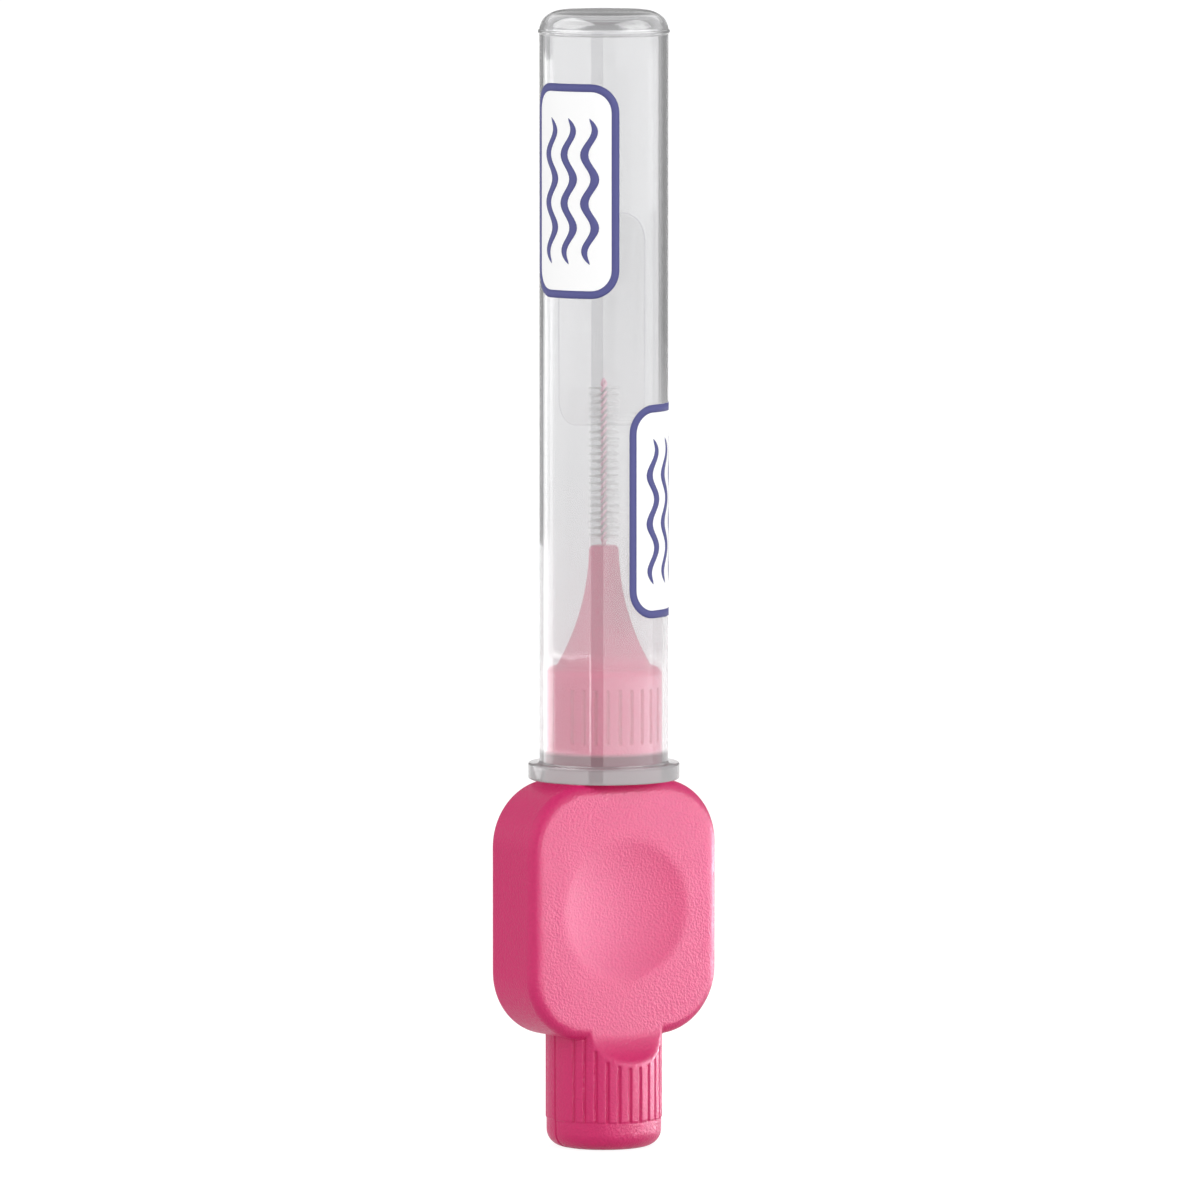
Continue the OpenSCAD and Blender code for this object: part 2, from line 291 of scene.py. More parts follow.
def moulded_polypropylene(colours, sizes):
    """Injection moulded polypropylene from a spark-eroded mould: matte, with fine pits that sparkle.
    The pits are drawn about twice as wide as real ones, which are too fine to show here."""
    material, tree, output = new_material("moulded_polypropylene")
    # Turned, so that no flat face lies along the noise's own grid
    plain_place = add_node(tree, "ShaderNodeTexCoord").outputs["Object"]
    place = add_node(tree, "ShaderNodeMapping", [("Vector", plain_place)],
                     Rotation=(0.6, 0.4, 0.9)).outputs["Vector"]
    pits = add_node(tree, "ShaderNodeTexNoise", [("Vector", place)],
                    Scale=1 / sizes.grain, Detail=1.0, Roughness=0.5).outputs["Fac"]
    # Painted shade: the colour is a little darker down in the pits and a little lighter on the rises
    # between them
    pit_shade = add_node(tree, "ShaderNodeMapRange", [("Value", pits)],
                       From_Min=0.38, From_Max=0.62).outputs["Result"]
    base = tuple(colours.pink)
    colour = add_node(tree, "ShaderNodeMix", [("Factor", pit_shade)], data_type="RGBA",
                      A=shaded(base, 0.98), B=shaded(base, 1.04)).outputs["Result"]
    rough = add_node(tree, "ShaderNodeMapRange", [("Value", pits)],
                     From_Min=0.3, From_Max=0.7, To_Min=0.34, To_Max=0.52).outputs["Result"]
    # A pit is about a fifth as deep as it is wide
    bump = add_node(tree, "ShaderNodeBump", [("Height", pits)],
                    Strength=1.0, Distance=0.22 * sizes.grain).outputs["Normal"]
    shader = add_node(tree, "ShaderNodeBsdfPrincipled",
                      [("Base Color", colour), ("Roughness", rough), ("Normal", bump)],
                      IOR=1.49, Specular_IOR_Level=0.31)
    tree.links.new(shader.outputs["BSDF"], output.inputs["Surface"])
    return material


def uneven_finish(name, grain, base, change, smoothest, roughest, **settings):
    """A finish that strays a little with one noise of that grain: its colour from base to base times
    change, and its roughness between two values. The settings are those of its shader."""
    material, tree, output = new_material(name)
    place = add_node(tree, "ShaderNodeTexCoord").outputs["Object"]
    noise = add_node(tree, "ShaderNodeTexNoise", [("Vector", place)], Scale=1 / grain).outputs["Fac"]
    colour = add_node(tree, "ShaderNodeMix", [("Factor", noise)], data_type="RGBA",
                      A=base, B=shaded(base, change)).outputs["Result"]
    rough = add_node(tree, "ShaderNodeMapRange", [("Value", noise)], From_Min=0.3, From_Max=0.7,
                     To_Min=smoothest, To_Max=roughest).outputs["Result"]
    shader = add_node(tree, "ShaderNodeBsdfPrincipled",
                      [("Base Color", colour), ("Roughness", rough)], **settings)
    tree.links.new(shader.outputs["BSDF"], output.inputs["Surface"])
    return material


def drawn_steel(colours):
    """Drawn stainless wire: bright metal with fine marks along its length."""
    return uneven_finish("drawn_steel", 0.04 * MM, tuple(colours.steel), 0.7, 0.22, 0.38, Metallic=1.0)


def extruded_coat(colours):
    """Polyurethane drawn over the wire: smooth, satin, slightly uneven in colour."""
    return uneven_finish("extruded_polyurethane", 0.2 * MM, tuple(colours.coat), 1.3, 0.30, 0.42,
                         IOR=1.5)


def nylon_filament(colours):
    """Drawn nylon monofilament: milky white, satin, letting a little light through."""
    return uneven_finish("nylon_monofilament", 0.3 * MM, tuple(colours.nylon), 0.85, 0.28, 0.40,
                         IOR=1.53, Transmission_Weight=0.35)


def screen_ink(name, colour):
    """Screen-printed ink: even, opaque, satin, with the faint pull marks of the squeegee."""
    return uneven_finish(name, 0.25 * MM, colour, 1.06, 0.50, 0.60, IOR=1.5)


def clear_polypropylene(colours, sizes):
    """Clarified polypropylene from a polished mould: clear and glossy, milkier where the wall cools
    last, round the plug, and milkiest in the thick flange. Its colour is painted darker grey in the
    flange and darker still just above it, and a little darker above the plug, as painted shade."""
    material, tree, output = new_material("clarified_polypropylene")
    place = add_node(tree, "ShaderNodeTexCoord").outputs["Object"]
    height = add_node(tree, "ShaderNodeSeparateXYZ", [("Vector", place)]).outputs["Z"]
    flange_top = CAP_LOW.z + sizes.flange_height
    heel_foot, heel_top = flange_top - 0.25 * MM, flange_top + 0.1 * MM
    # What changes with the height: from, to, value below, value above
    changes = {
        "heel": (heel_foot, heel_top, 0.0, 1.0),
        "heel_clarity": (heel_foot, heel_top, 0.45, 0.72),
        "wall": (flange_top + 0.7 * MM, flange_top + 1.0 * MM, 0.0, 1.0),
        "past_plug": (CAP_LOW.z + 7.6 * MM, CAP_LOW.z + 9.2 * MM, 0.0, 1.0),
        "tube_clarity": (BRISTLE_HIGH.z - 2 * MM, BRISTLE_HIGH.z + 4 * MM, 0.80, 0.92),
    }
    rise = {part: add_node(tree, "ShaderNodeMapRange", [("Value", height)], From_Min=low, From_Max=high,
                           To_Min=below, To_Max=above).outputs["Result"]
            for part, (low, high, below, above) in changes.items()}
    base = tuple(colours.clear)
    # Painted shade: the flange is coloured darker grey and the band just above it darker still, for
    # their shade and dark reflections, and the tube above the plug a little darker, for the shade inside
    # the cap, which casts no shadow
    thick = add_node(tree, "ShaderNodeMix", [("Factor", rise["heel"])], data_type="RGBA",
                     A=shaded(base, 0.48), B=shaded(base, 0.42)).outputs["Result"]
    thin = add_node(tree, "ShaderNodeMix", [("Factor", rise["past_plug"])], data_type="RGBA",
                    A=base, B=shaded(base, 0.84)).outputs["Result"]
    tint_and_shade = add_node(tree, "ShaderNodeMix", [("Factor", rise["wall"]), ("A", thick), ("B", thin)],
                    data_type="RGBA").outputs["Result"]
    tube = add_node(tree, "ShaderNodeMix", [("Factor", rise["past_plug"]), ("B", rise["tube_clarity"])],
                    A=0.87).outputs["Result"]
    clear = add_node(tree, "ShaderNodeMix", [("Factor", rise["wall"]), ("A", rise["heel_clarity"]),
                                             ("B", tube)]).outputs["Result"]
    # The melt's flow lines
    flow = add_node(tree, "ShaderNodeTexNoise", [("Vector", place)],
                    Scale=1 / (1.6 * MM), Detail=1.0).outputs["Fac"]
    rough = add_node(tree, "ShaderNodeMapRange", [("Value", flow)],
                     From_Min=0.3, From_Max=0.7, To_Min=0.015, To_Max=0.03).outputs["Result"]
    bump = add_node(tree, "ShaderNodeBump", [("Height", flow)],
                    Strength=0.1, Distance=0.015 * MM).outputs["Normal"]
    shader = add_node(tree, "ShaderNodeBsdfPrincipled",
                      [("Base Color", tint_and_shade), ("Roughness", rough), ("Normal", bump),
                       ("Transmission Weight", clear)], IOR=1.51, Specular_IOR_Level=1.0)
    tree.links.new(shader.outputs["BSDF"], output.inputs["Surface"])
    return material


# How far grooves run up into the pad and how long their ends take to run out, how soft the edges of
# the scoop and the dishes are, and how far below its upper edge the pad stops standing alone
RUN_IN = 0.2 * MM
RUN_OUT = 0.12 * MM
SCOOP_EDGE = 0.22 * MM
DISH_EDGE = 0.05 * MM
PAD_TOP_MARGIN = 0.05 * MM


def plug_radius(h, turn, z):
    """Radius of the plugs and the nose at an angle and height, from their outline in three stretches:
    a rounded end, a straight wall with grooves and parting lines, and a shoulder with a concave
    nose."""
    band = PLUG_RADIUS - h.band_step
    pad_top = h.pad_bottom + h.pad_height
    shoulder = pad_top + h.front_height
    low = np.clip(h.end_round - z, 0, h.end_round)
    radius = band - h.end_round + np.sqrt(h.end_round ** 2 - low ** 2)
    # The ribs stand out over a tenth of a millimetre above the smooth band
    radius = radius + h.band_step * smooth_step(z, h.band_height - 0.02 * MM, h.band_height + 0.1 * MM)
    # The plug's shoulder
    high = np.clip(z - (shoulder - h.shoulder_round), 0, h.shoulder_round)
    radius = radius - (h.shoulder_round - np.sqrt(h.shoulder_round ** 2 - high ** 2))
    radius = radius - h.parting_depth * parting(h, turn) - h.groove_depth * grooves(h, turn, z)
    return np.where(z > shoulder, nose_radius(h, z), radius)


def nose_radius(h, z):
    """Radius of the nose: a concave arc from the shoulder that ends upright, then a rounded tip."""
    base, tip = h.nose_base / 2, h.nose_tip / 2
    shoulder = h.pad_bottom + h.pad_height + h.front_height
    height = NOSE_TIP_Z - shoulder
    sweep = ((base - tip) ** 2 + height ** 2) / (2 * (base - tip))
    left = np.clip(NOSE_TIP_Z - z, 0, height)
    over = np.clip(h.tip_round - left, 0, h.tip_round)
    rounding = h.tip_round - np.sqrt(h.tip_round ** 2 - over ** 2)
    return tip + sweep - np.sqrt(sweep ** 2 - left ** 2) - rounding


def parting(h, turn):
    """1 in the parting lines on the plugs' two sides, 0 beside them."""
    across = PLUG_RADIUS * np.arcsin(np.abs(np.sin(turn)))
    return 1 - smooth_step(across, 0.25 * h.parting_width, 0.75 * h.parting_width)


def groove_angles(h):
    """Angle of each groove from the normal of the pad's face."""
    return (np.arange(h.groove_count) - (h.groove_count - 1) / 2) * h.groove_turn


def rib_top(h, angle):
    """Height where a groove of the rear plug ends, at an angle from the face's normal: a plain margin
    below the scoop's edge, and inside the pad beside the scoop."""
    proud = PLUG_RADIUS * np.cos(angle) - h.pad_thickness / 2
    depth = h.scoop_radius - np.clip(proud, 0, h.scoop_radius)
    edge = h.pad_bottom + h.scoop_rise - np.sqrt(h.scoop_radius ** 2 - depth ** 2)
    return np.where(proud > 0, edge - h.rib_margin, h.pad_bottom + RUN_IN)


def between(z, foot, head):
    """1 from foot to head and 0 beyond them, with a run-out across each."""
    half = RUN_OUT / 2
    return smooth_step(z, foot - half, foot + half) * (1 - smooth_step(z, head - half, head + half))


def grooves(h, turn, z):
    """1 at the bottom of a groove, 0 on the ribs, with rounded rib edges and run-out ends."""
    front_foot = h.pad_bottom + h.pad_height + h.front_rib_foot
    front = between(z, front_foot, front_foot + h.front_rib_height)
    depth = np.zeros(np.broadcast(turn, z).shape)
    # The angle from the normal of the nearer face
    off_face = np.mod(turn, np.pi) - np.pi / 2
    for angle in groove_angles(h):
        across = PLUG_RADIUS * np.abs(off_face - angle)
        well = 1 - smooth_step(across, 0.08 * h.groove_width, 0.9 * h.groove_width)
        rear = between(z, h.band_height, float(rib_top(h, angle)))
        depth = np.maximum(depth, well * np.maximum(rear, front))
    return depth


def corner_distance(a, b):
    """Signed distance to a square corner, from the signed distances to its two sides: hypot of the
    positive parts where it is outside, the larger one where it is inside."""
    return np.hypot(np.maximum(a, 0), np.maximum(b, 0)) + np.minimum(np.maximum(a, b), 0)


def pad_distance(h, x, y, z):
    """Signed distance to the pad: a rectangle with round corners in X and Z, drawn along Y, whose
    rims are rounded."""
    corner, rim = h.pad_corner, h.pad_rim
    middle = h.pad_bottom + h.pad_height / 2
    side = np.abs(x) - (PAD_WIDTH / 2 - corner)
    rise = np.abs(z - middle) - (h.pad_height / 2 - corner)
    outline = corner_distance(side, rise) - corner
    return corner_distance(outline + rim, np.abs(y) - h.pad_thickness / 2 + rim) - rim


def dish_distance(h, x, y, z):
    """Above 0 in the thumb dishes: inside a ball whose cap of that depth dips into each face."""
    ball = (h.dish_radius ** 2 + h.dish_depth ** 2) / (2 * h.dish_depth)
    centre = h.pad_thickness / 2 + ball - h.dish_depth
    rise = z - h.pad_bottom - h.pad_height / 2
    return ball - np.sqrt(x ** 2 + (centre - np.abs(y)) ** 2 + rise ** 2)


def handle_distance(h, reach, turn, z):
    """Below 0 inside the handle and above 0 outside: the plugs and the pad joined with a small
    fillet, less what the pad's face plane and the scoop take off the rear plug, and less the thumb
    dishes."""
    x, y = reach * np.cos(turn), reach * np.sin(turn)
    face = h.pad_thickness / 2
    below_top = z < h.pad_bottom + h.pad_height - PAD_TOP_MARGIN
    plugs = reach - plug_radius(h, turn, z)
    # The pad's upper half stands alone, so that its round rim runs on below the flange
    plugs = np.where((z > h.pad_bottom + h.pad_height / 2) & below_top, PAD_WIDTH, plugs)
    joined = smooth_least(plugs, pad_distance(h, x, y, z), h.fillet)
    scoop_z = h.pad_bottom + h.scoop_rise
    plane = face - np.abs(y)
    hollow = np.hypot(face + h.scoop_radius - np.abs(y), z - scoop_z) - h.scoop_radius
    cut = -np.where(z > scoop_z, plane, hollow)
    # The scoop's edge is soft on the plug and sharp inside the pad, where 1e-9 keeps it above zero
    soft = SCOOP_EDGE * (1 - smooth_step(z, h.pad_bottom - 0.6 * MM, h.pad_bottom + RUN_IN)) + 1e-9
    cut_body = smooth_most(smooth_most(joined, cut, soft), dish_distance(h, x, y, z), DISH_EDGE)
    above_scoop = z > scoop_z - h.scoop_radius - 0.2 * MM
    return np.where(below_top & above_scoop, cut_body, joined)


def handle_rows(h):
    """Heights of the grid's rows, close together where the shape turns."""
    pad_top = h.pad_bottom + h.pad_height
    shoulder = pad_top + h.front_height
    corner_rows = h.pad_corner * (1 - np.cos(np.linspace(0, np.pi / 2, 27)))
    ribs_foot = pad_top + h.front_rib_foot
    step = 0.05 * MM
    rows = [
        # The rear plug's rounded end, and the band's edge
        h.end_round * (1 - np.cos(np.linspace(0, np.pi / 2, 12))),
        h.band_height + step * np.arange(-2, 5),
        # The scoop, and the pad with its corners
        h.pad_bottom + np.linspace(-2.25 * MM, -0.03 * MM, 34),
        h.pad_bottom + corner_rows,
        np.linspace(h.pad_bottom + h.pad_corner, pad_top - h.pad_corner, 41)[1:-1],
        pad_top - corner_rows[::-1],
        # The step from the pad to the front plug, and both ends of its ribs
        pad_top + np.array([-0.06, -0.04, 0.6]) * MM,
        ribs_foot + step * np.arange(-2, 3),
        ribs_foot + h.front_rib_height + step * np.arange(-2, 3),
        # The shoulder, the nose and its rounded tip
        shoulder - h.shoulder_round * (1 - np.sin(np.linspace(0, np.pi / 2, 8))),
        shoulder + 0.01 * MM + (NOSE_TIP_Z - h.tip_round - shoulder) * np.linspace(0, 0.99, 16),
        NOSE_TIP_Z - h.tip_round * (1 - np.sin(np.linspace(0, np.pi / 2, 7))),
    ]
    return np.unique(np.round(np.concatenate(rows), 9))


def handle_turns(h, columns):
    """Angles of the grid's columns, crowded at the grooves, the parting lines and the pad's rims:
    equal steps of the running sum of a density that peaks there."""
    # The density everywhere, and what a groove, a parting line and a rim of the pad add to it
    plain, at_groove, at_parting, at_rim = 0.55, 1.6, 1.2, 0.8
    turn = np.linspace(0, 2 * np.pi, 7201)
    off_face = np.mod(turn, np.pi) - np.pi / 2
    groove_reach = 1.15 * h.groove_width / PLUG_RADIUS
    density = np.full(turn.shape, plain)
    for angle in groove_angles(h):
        away = np.abs(off_face - angle)
        density += at_groove * (1 - smooth_step(away, 0.6 * groove_reach, groove_reach))
    off_side = np.arcsin(np.abs(np.sin(turn)))
    beside = off_side * PLUG_RADIUS
    density += at_parting * (1 - smooth_step(beside, h.parting_width, 1.6 * h.parting_width))
    rim = np.arctan2(h.pad_thickness / 2 - 0.4 * h.pad_rim, PAD_WIDTH / 2 - 0.4 * h.pad_rim)
    density += at_rim * (1 - smooth_step(np.abs(off_side - rim), 0.04, 0.09))
    running = np.concatenate([[0], np.cumsum((density[1:] + density[:-1]) / 2)])
    return np.interp(np.arange(columns) / columns * running[-1], running, turn)


def handle_surface(h, columns=528, halvings=36):
    """The handle as a grid of rows and columns: each point lies where its ray from the axis leaves
    the handle, found by halving."""
    z = handle_rows(h)[:, None]
    turn = handle_turns(h, columns)[None, :]
    inner = np.full((z.size, columns), 0.3 * MM)
    outer = np.full((z.size, columns), PAD_WIDTH)
    for _ in range(halvings):
        middle = (inner + outer) / 2
        outside = handle_distance(h, middle, turn, z) > 0
        outer = np.where(outside, middle, outer)
        inner = np.where(outside, inner, middle)
    reach = (inner + outer) / 2
    return np.stack([reach * np.cos(turn), reach * np.sin(turn), z + 0 * turn], axis=-1)


def wire_path(b, turn_steps=18):
    """Middle line of the folded wire and its outward direction: down one leg's helix, straight
    through the handle, round the fold and up the other leg, which lies half a turn further."""
    offset = BRUSH_RADIUS - b.coat / 2
    fold_z = WIRE_LOW.z + BRUSH_RADIUS
    turns = (WIRE_HIGH.z - TWIST_FOOT_Z) / b.pitch
    steps = int(np.ceil(turns * turn_steps))
    rise = np.concatenate([np.linspace(fold_z, TWIST_FOOT_Z, 4)[:-1],
                           np.linspace(TWIST_FOOT_Z, WIRE_HIGH.z, steps + 1)])
    angle = np.maximum(rise - TWIST_FOOT_Z, 0) / b.pitch * 2 * np.pi
    leg = np.stack([offset * np.cos(angle), offset * np.sin(angle), rise], axis=-1)
    bend = np.linspace(0, np.pi, 13)[1:-1]
    fold = np.stack([offset * np.cos(bend), 0 * bend, fold_z - offset * np.sin(bend)], axis=-1)
    path = np.concatenate([leg[::-1], fold, leg * [-1, -1, 1]])
    centre = np.stack([0 * path[:, 0], 0 * path[:, 0], np.maximum(path[:, 2], fold_z)], axis=-1)
    return path, path - centre


def carried_circle(path, outward, radius, sides):
    """A circle of that radius carried along a path, square to it: rows along the path, columns
    round it."""
    along = np.gradient(path, axis=0)
    along /= np.linalg.norm(along, axis=1, keepdims=True)
    out = outward - along * np.sum(along * outward, axis=1, keepdims=True)
    out /= np.linalg.norm(out, axis=1, keepdims=True)
    side = np.cross(along, out)
    turn = np.linspace(0, 2 * np.pi, sides, endpoint=False)[None, :, None]
    return path[:, None] + radius * (out[:, None] * np.cos(turn) + side[:, None] * np.sin(turn))


def filaments(b, root_z, tip_z, sides=4):
    """Points and faces of the filaments: pairs of slim four-sided rods that leave the pinch of the
    twisted legs on both sides, each pair turned with the twist, and tapered, bent and scattered a
    little."""
    random = np.random.default_rng(b.seed)
    pairs = int((tip_z - root_z) / b.step)
    z = np.repeat(root_z + (np.arange(pairs) + 0.5) * (tip_z - root_z) / pairs, 2)
    side = np.tile([0, np.pi], pairs)
    total = z.size
    twist = (z - TWIST_FOOT_Z) / b.pitch * 2 * np.pi
    # Drawn in this order: how far each rod turns off, leans along the wire and bends, and its length
    angle = twist + np.pi / 2 + side + random.normal(0, 0.10, total)
    lean = random.normal(0, 1, total) * b.scatter
    sweep = random.normal(0, 0.05, total)
    length = BRISTLE_RADIUS * random.uniform(0.95, 1.0, total)
    along = np.linspace(0.04, 1, 4)
    reach = length[:, None] * along
    bent = angle[:, None] + sweep[:, None] * along ** 2
    height = z[:, None] + lean[:, None] * along ** 2
    middle = np.stack([reach * np.cos(bent), reach * np.sin(bent), height], axis=-1)
    thick = b.filament / 2 * (1 - 0.35 * along ** 3)
    across = np.stack([-np.sin(angle), np.cos(angle), 0 * angle], axis=-1)[:, None, None]
    up = np.array([0, 0, 1.0])
    turn = np.linspace(0, 2 * np.pi, sides, endpoint=False)[None, None, :, None]
    ring = across * np.cos(turn) + up * np.sin(turn)
    points = middle[:, :, None] + thick[None, :, None, None] * ring
    size_of_one = along.size * sides
    root_end = list(range(sides))[::-1]
    tip_end = list(range(size_of_one - sides, size_of_one))
    one = np.array(grid_faces(along.size, sides) + [root_end, tip_end])
    faces = (one[None] + (np.arange(total) * size_of_one)[:, None, None]).reshape(-1, sides)
    return points.reshape(-1, 3), faces.tolist()


def cap_outline(c):
    """Outline (r, z) of the cap: up outside over the flange, the tube, the ring and the closed end to
    the axis, then down inside to the lead-in."""
    tube = c.bore + c.wall
    foot, top = CAP_LOW.z, CAP_HIGH.z
    flange_top = foot + c.flange_height
    rim = c.flange_round
    shoulder = top - c.end_round
    ring_foot = shoulder - c.ring_height
    floor = top - c.end_wall
    # Roundings of the mouth's lip, of the corner above the flange and of the ring
    lip, heel, ring_round = 0.08 * MM, 0.15 * MM, 0.05 * MM
    # Height of the slope below the ring
    slope = 0.06 * MM
    # A row this near to a rounding keeps the long wall beside it straight in the light
    hold = 0.05 * MM
    shares = (0.25, 0.5, 0.75)
    return np.concatenate([
        [[c.bore, foot + c.lead_in_height + hold], [c.bore, foot + c.lead_in_height],
         [c.bore + c.lead_in_width, foot + lip]],
        arc(c.bore + c.lead_in_width + lip, foot + lip, lip, 200, 270, 4),
        arc(FLANGE_RADIUS - rim, foot + rim, rim, -90, 0, 5),
        [[FLANGE_RADIUS, foot + rim + hold], [FLANGE_RADIUS, flange_top - rim - hold]],
        arc(FLANGE_RADIUS - rim, flange_top - rim, rim, 0, 90, 5),
        arc(tube + heel, flange_top + heel, heel, 270, 180, 4),
        [[tube, flange_top + heel + hold]],
        [[tube, foot + share * (shoulder - foot)] for share in shares],
        [[tube, ring_foot - slope - hold], [tube, ring_foot - slope]],
        arc(tube + c.ring_out - ring_round, ring_foot + c.ring_out, ring_round, -60, 0, 3),
        arc(tube + c.ring_out - ring_round, shoulder - ring_round, ring_round, 0, 80, 3),
        # The closed end's rounding is a quarter of an ellipse
        arc(0, 0, 1, 2, 90, 18) * [c.end_reach, c.end_round] + [tube - c.end_reach, shoulder],
        [[reach * MM, top] for reach in (1.8, 0.9, 0.3, 0.05)],
        [[reach * MM, floor] for reach in (0.05, 0.9, 1.8)],
        arc(c.bore - c.inner_round, floor - c.inner_round, c.inner_round, 90, 0, 14),
        [[c.bore, floor - c.inner_round - hold]],
        [[c.bore, foot + share * (floor - foot)] for share in shares[::-1]],
    ])


def cap_surface(c, columns=192):
    """Points and faces of the cap: its outline carried round the axis, with both poles of the closed
    end shut by a point on the axis."""
    outline = cap_outline(c)
    rows = len(outline)
    # The outline jumps from the outer pole to the inner one after the last point on the top
    jump = int(np.flatnonzero(np.isclose(outline[:, 1], CAP_HIGH.z))[-1])
    faces = np.array(grid_faces(rows, columns, closed_rows=True)).reshape(rows, columns, 4)
    kept = np.delete(faces, jump, axis=0).reshape(-1, 4).tolist()
    poles = [[0, 0, CAP_HIGH.z], [0, 0, CAP_HIGH.z - c.end_wall]]
    points = np.concatenate([revolve(outline, columns).reshape(-1, 3), poles])
    outer, inner = rows * columns, rows * columns + 1
    kept += fan(outer, jump * columns, columns)
    kept += fan(inner, (jump + 1) * columns, columns, inverted=True)
    return points, kept


def wrapped(c, arc_place, height, lift):
    """Points on a cylinder lift above the tube: arc_place round it from the front, height along it."""
    radius = c.bore + c.wall + lift
    turn = arc_place / (c.bore + c.wall) - np.pi / 2
    return np.stack([radius * np.cos(turn), radius * np.sin(turn), height], axis=-1)


def ink_shell(c, arc_place, height, low, high, ring=False):
    """Points and faces of a thin closed shell of ink over a grid of (arc, height): its back and its
    face stand low and high times the ink's thickness above the tube, and are joined along the grid's
    edges. Rows run along the shape and columns across it. A ring closes on itself."""
    front = wrapped(c, arc_place, height, high * c.ink)
    back = wrapped(c, arc_place, height, low * c.ink)
    loop = np.concatenate([front, back[:, ::-1]], axis=1)
    rows, columns = loop.shape[:2]
    faces = grid_faces(rows, columns, closed_rows=ring)
    if not ring:
        j = np.arange(columns // 2 - 1)
        first = np.stack([j + 1, j, columns - 1 - j, columns - 2 - j], axis=-1)
        last = (rows - 1) * columns + first[:, [1, 0, 3, 2]]
        faces += np.concatenate([first, last]).tolist()
    return loop.reshape(-1, 3), faces


def rounded_rectangle(width, height, corner, steps):
    """A closed outline (arc, height) round a rectangle with round corners, and its outward
    directions."""
    angles = (np.linspace(0, np.pi / 2, steps) + np.arange(4)[:, None] * np.pi / 2).reshape(-1)
    out = np.stack([np.cos(angles), np.sin(angles)], axis=-1)
    centre = np.repeat([[1, 1], [-1, 1], [-1, -1], [1, -1]], steps, axis=0)
    return centre * [width / 2 - corner, height / 2 - corner] + corner * out, out


# Back and face of the white field and of the lines on it, in thicknesses of the ink
FIELD_LAYER = (0.1, 1.0)
LINE_LAYER = (0.9, 2.0)
# How far the white field stays inside the outer edge of the line round it
FIELD_INSET = 0.02 * MM
# Spacing, width and swing of the waves, their swings and their share of the panel's height
WAVE_SPACING = 1.6 * MM
WAVE_WIDTH = 0.62 * MM
WAVE_SWING = 0.38 * MM
WAVE_SWINGS = 1.5
WAVE_SHARE = 0.68


def panel_mesh(c, centre_arc, centre_z):
    """The white field of a printed panel: rows up the panel, each as wide as the rounded rectangle
    is there."""
    tall = c.panel_height / 2 - FIELD_INSET
    wide = c.panel_width / 2 - FIELD_INSET
    corner = c.panel_corner - FIELD_INSET
    bend = corner * (1 - np.cos(np.linspace(0, np.pi / 2, 9)))
    straight = np.linspace(-tall + corner, tall - corner, 6)[1:-1]
    up = np.concatenate([-tall + bend, straight, tall - bend[::-1]])
    over = np.clip(np.abs(up) - (tall - corner), 0, corner)
    half = wide - corner + np.sqrt(corner ** 2 - over ** 2)
    across = np.linspace(-1, 1, 49)
    height = centre_z + up[:, None] + 0 * across
    return ink_shell(c, centre_arc + half[:, None] * across, height, *FIELD_LAYER)


def border_mesh(c, centre_arc, centre_z):
    """The line round a printed panel: a strip of even width along the rounded rectangle, with points
    along its straight sides too, so that it follows the tube's curve."""
    line, out = rounded_rectangle(c.panel_width - c.border, c.panel_height - c.border,
                                  c.panel_corner - c.border / 2, 10)
    ends = np.concatenate([line, out], axis=1)
    closed = np.concatenate([ends, ends[:1]])
    lengths = np.linalg.norm(np.diff(closed[:, :2], axis=0), axis=1)
    reach = np.concatenate([[0], np.cumsum(lengths)])
    even = np.linspace(0, reach[-1], 160, endpoint=False)
    places = np.unique(np.concatenate([reach[:-1], even]))
    arc_line, rise_line, arc_out, rise_out = (
        np.interp(places, reach, closed[:, k])[:, None] for k in range(4))
    across = np.linspace(0.5, -0.5, 3) * c.border
    arc_place = centre_arc + arc_line + arc_out * across
    height = centre_z + rise_line + rise_out * across
    return ink_shell(c, arc_place, height, *LINE_LAYER, ring=True)


def wave_mesh(c, centre_arc, centre_z):
    """One printed wave: a strip that swings from side to side along the panel and thins out at its
    ends."""
    t = np.linspace(-1, 1, 49)
    swing = WAVE_SWING * np.sin(2 * np.pi * WAVE_SWINGS * t)
    half = WAVE_WIDTH / 2 * np.sqrt(np.clip(1 - t ** 4, 0.002, 1))
    across = np.linspace(-1, 1, 3)
    height = centre_z + (WAVE_SHARE * c.panel_height / 2 * t)[:, None] + 0 * across
    return ink_shell(c, centre_arc + swing[:, None] + half[:, None] * across, height, *LINE_LAYER)


class BRUSH_OT_handle(bpy.types.Operator):
    """Makes the moulded handle: rear plug, grip pad, front plug and nose in one surface."""

    bl_idname = "brush.handle"
    bl_label = "Handle"

    def execute(self, context):
        sizes = context.scene.brush_handle
        points, faces = closed_tube(handle_surface(sizes))
        obj = mesh_object("moulded_handle", points, faces,
                          moulded_polypropylene(context.scene.brush_colours, sizes), "brush")
        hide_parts("handle")
        shine_only("handle_glare", obj)
        shine_only("rib_glare", obj)
        return {"FINISHED"}


class BRUSH_OT_wire(bpy.types.Operator):
    """Makes the folded and twisted steel wire and the coat on it."""

    bl_idname = "brush.wire"
    bl_label = "Twisted wire"

    def execute(self, context):
        sizes = context.scene.brush_brush
        colours = context.scene.brush_colours
        path, outward = wire_path(sizes)
        points, faces = closed_tube(carried_circle(path, outward, sizes.steel / 2, 10))
        steel = mesh_object("twisted_steel_wire", points, faces, drawn_steel(colours), "brush")
        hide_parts("wire")
        inner = carried_circle(path, outward, sizes.steel / 2 + SLEEVE_GAP, 12)
        outer = carried_circle(path, outward, sizes.coat / 2, 12)
        sleeve = np.concatenate([outer, inner[::-1]])
        coat = mesh_object("wire_sleeve", sleeve.reshape(-1, 3),
                           grid_faces(*sleeve.shape[:2], closed_rows=True),
                           extruded_coat(colours), "brush")
        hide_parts("wire_coating")
        return {"FINISHED"}


